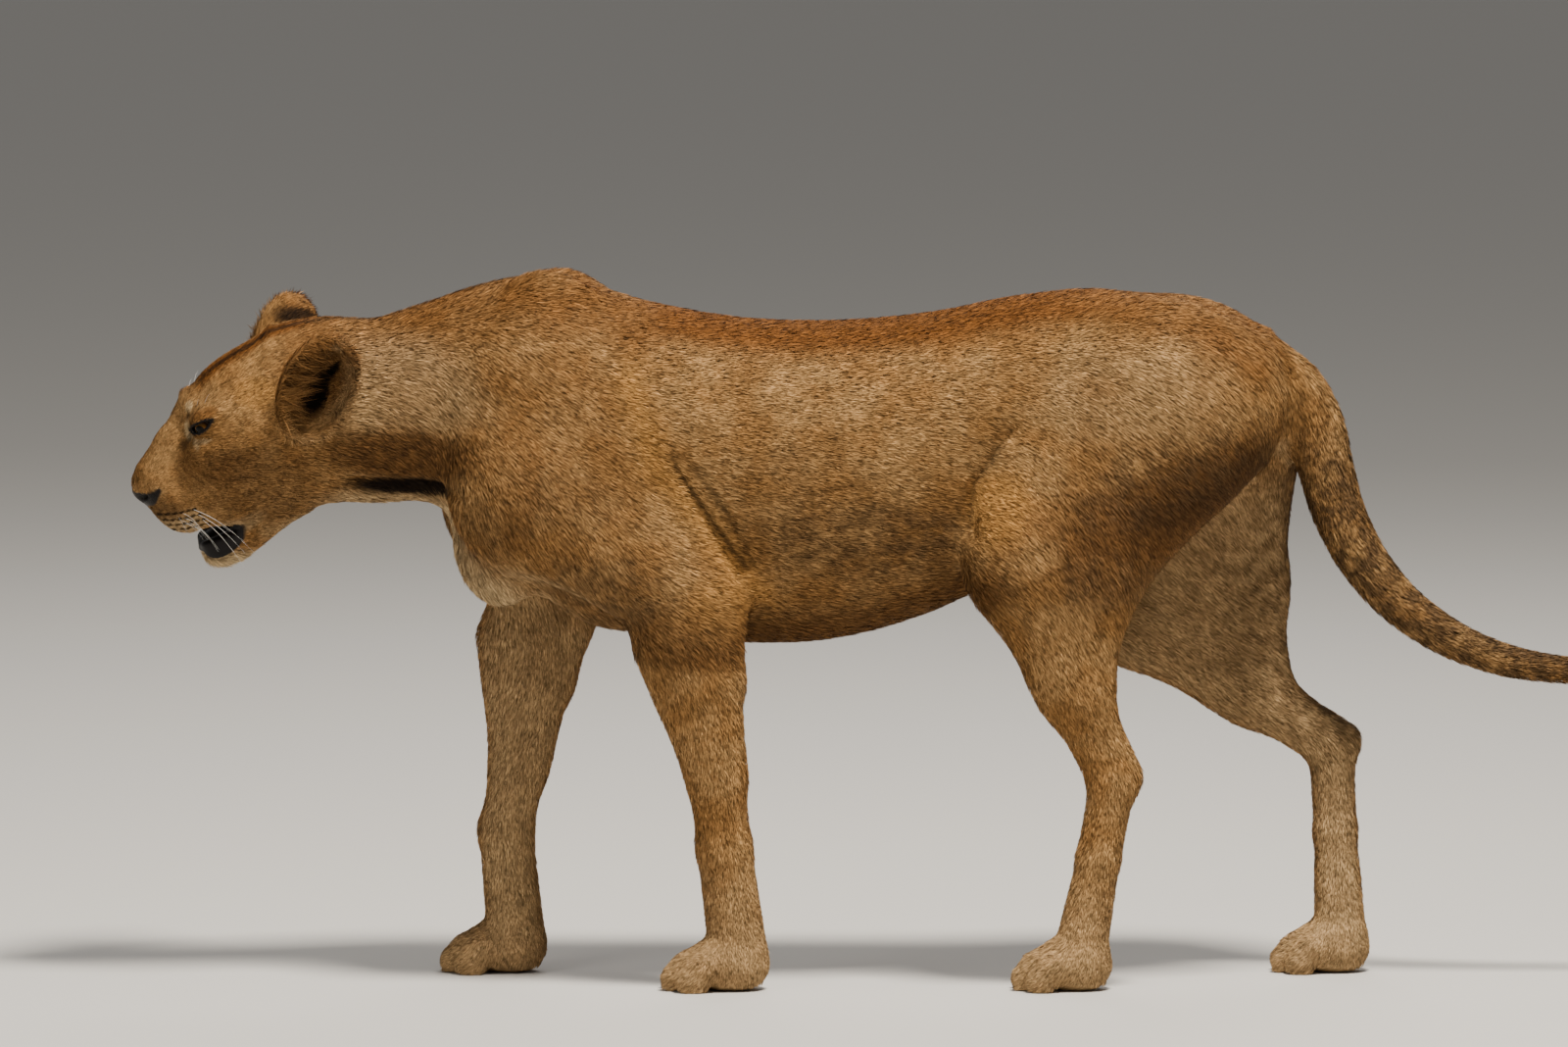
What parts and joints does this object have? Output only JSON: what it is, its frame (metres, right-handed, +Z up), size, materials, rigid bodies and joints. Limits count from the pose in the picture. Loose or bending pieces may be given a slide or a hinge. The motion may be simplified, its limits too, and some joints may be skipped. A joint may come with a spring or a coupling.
{
  "type": "lioness",
  "caption": "Life-size still model of a lioness walking with her head low, short tawny coat, mouth a little open, tail trailing behind with a dark tuft.",
  "frame": {"origin": "on the floor, under the middle of the whole length from nose to tail tuft, in the middle of the width", "axes": "+Z up, -X towards the nose, +X towards the tail, -Y towards her left side, +Y towards her right side"},
  "size_m": [2.1836, 0.3746, 0.9556],
  "materials": {
    "tawny_coat": "short dense fur, matte with a faint sheen",
    "ear_coat": "short soft fur, black patch behind and long brown hairs inside",
    "dark_tuft": "long coarse dark hair",
    "nose_skin": "moist pebbled skin, satin",
    "amber_eye": "wet gloss, amber iris with a round dark pupil"
  },
  "bodies": {
    "root": {"ear_left": "ear_coat", "ear_right": "ear_coat", "eye_left": "amber_eye", "eye_right": "amber_eye", "forearm_left": "tawny_coat", "forearm_right": "tawny_coat", "forepaw_left": "tawny_coat", "forepaw_right": "tawny_coat", "head": "tawny_coat", "hindpaw_left": "tawny_coat", "hindpaw_right": "tawny_coat", "jaw": "tawny_coat", "neck": "tawny_coat", "nose": "nose_skin", "shank_left": "tawny_coat", "shank_right": "tawny_coat", "shoulder_left": "tawny_coat", "shoulder_right": "tawny_coat", "tail_end": "tawny_coat", "tail_middle": "tawny_coat", "tail_root": "tawny_coat", "tail_tuft": "dark_tuft", "thigh_left": "tawny_coat", "thigh_right": "tawny_coat", "trunk": "tawny_coat"}
  },
  "joints": []
}
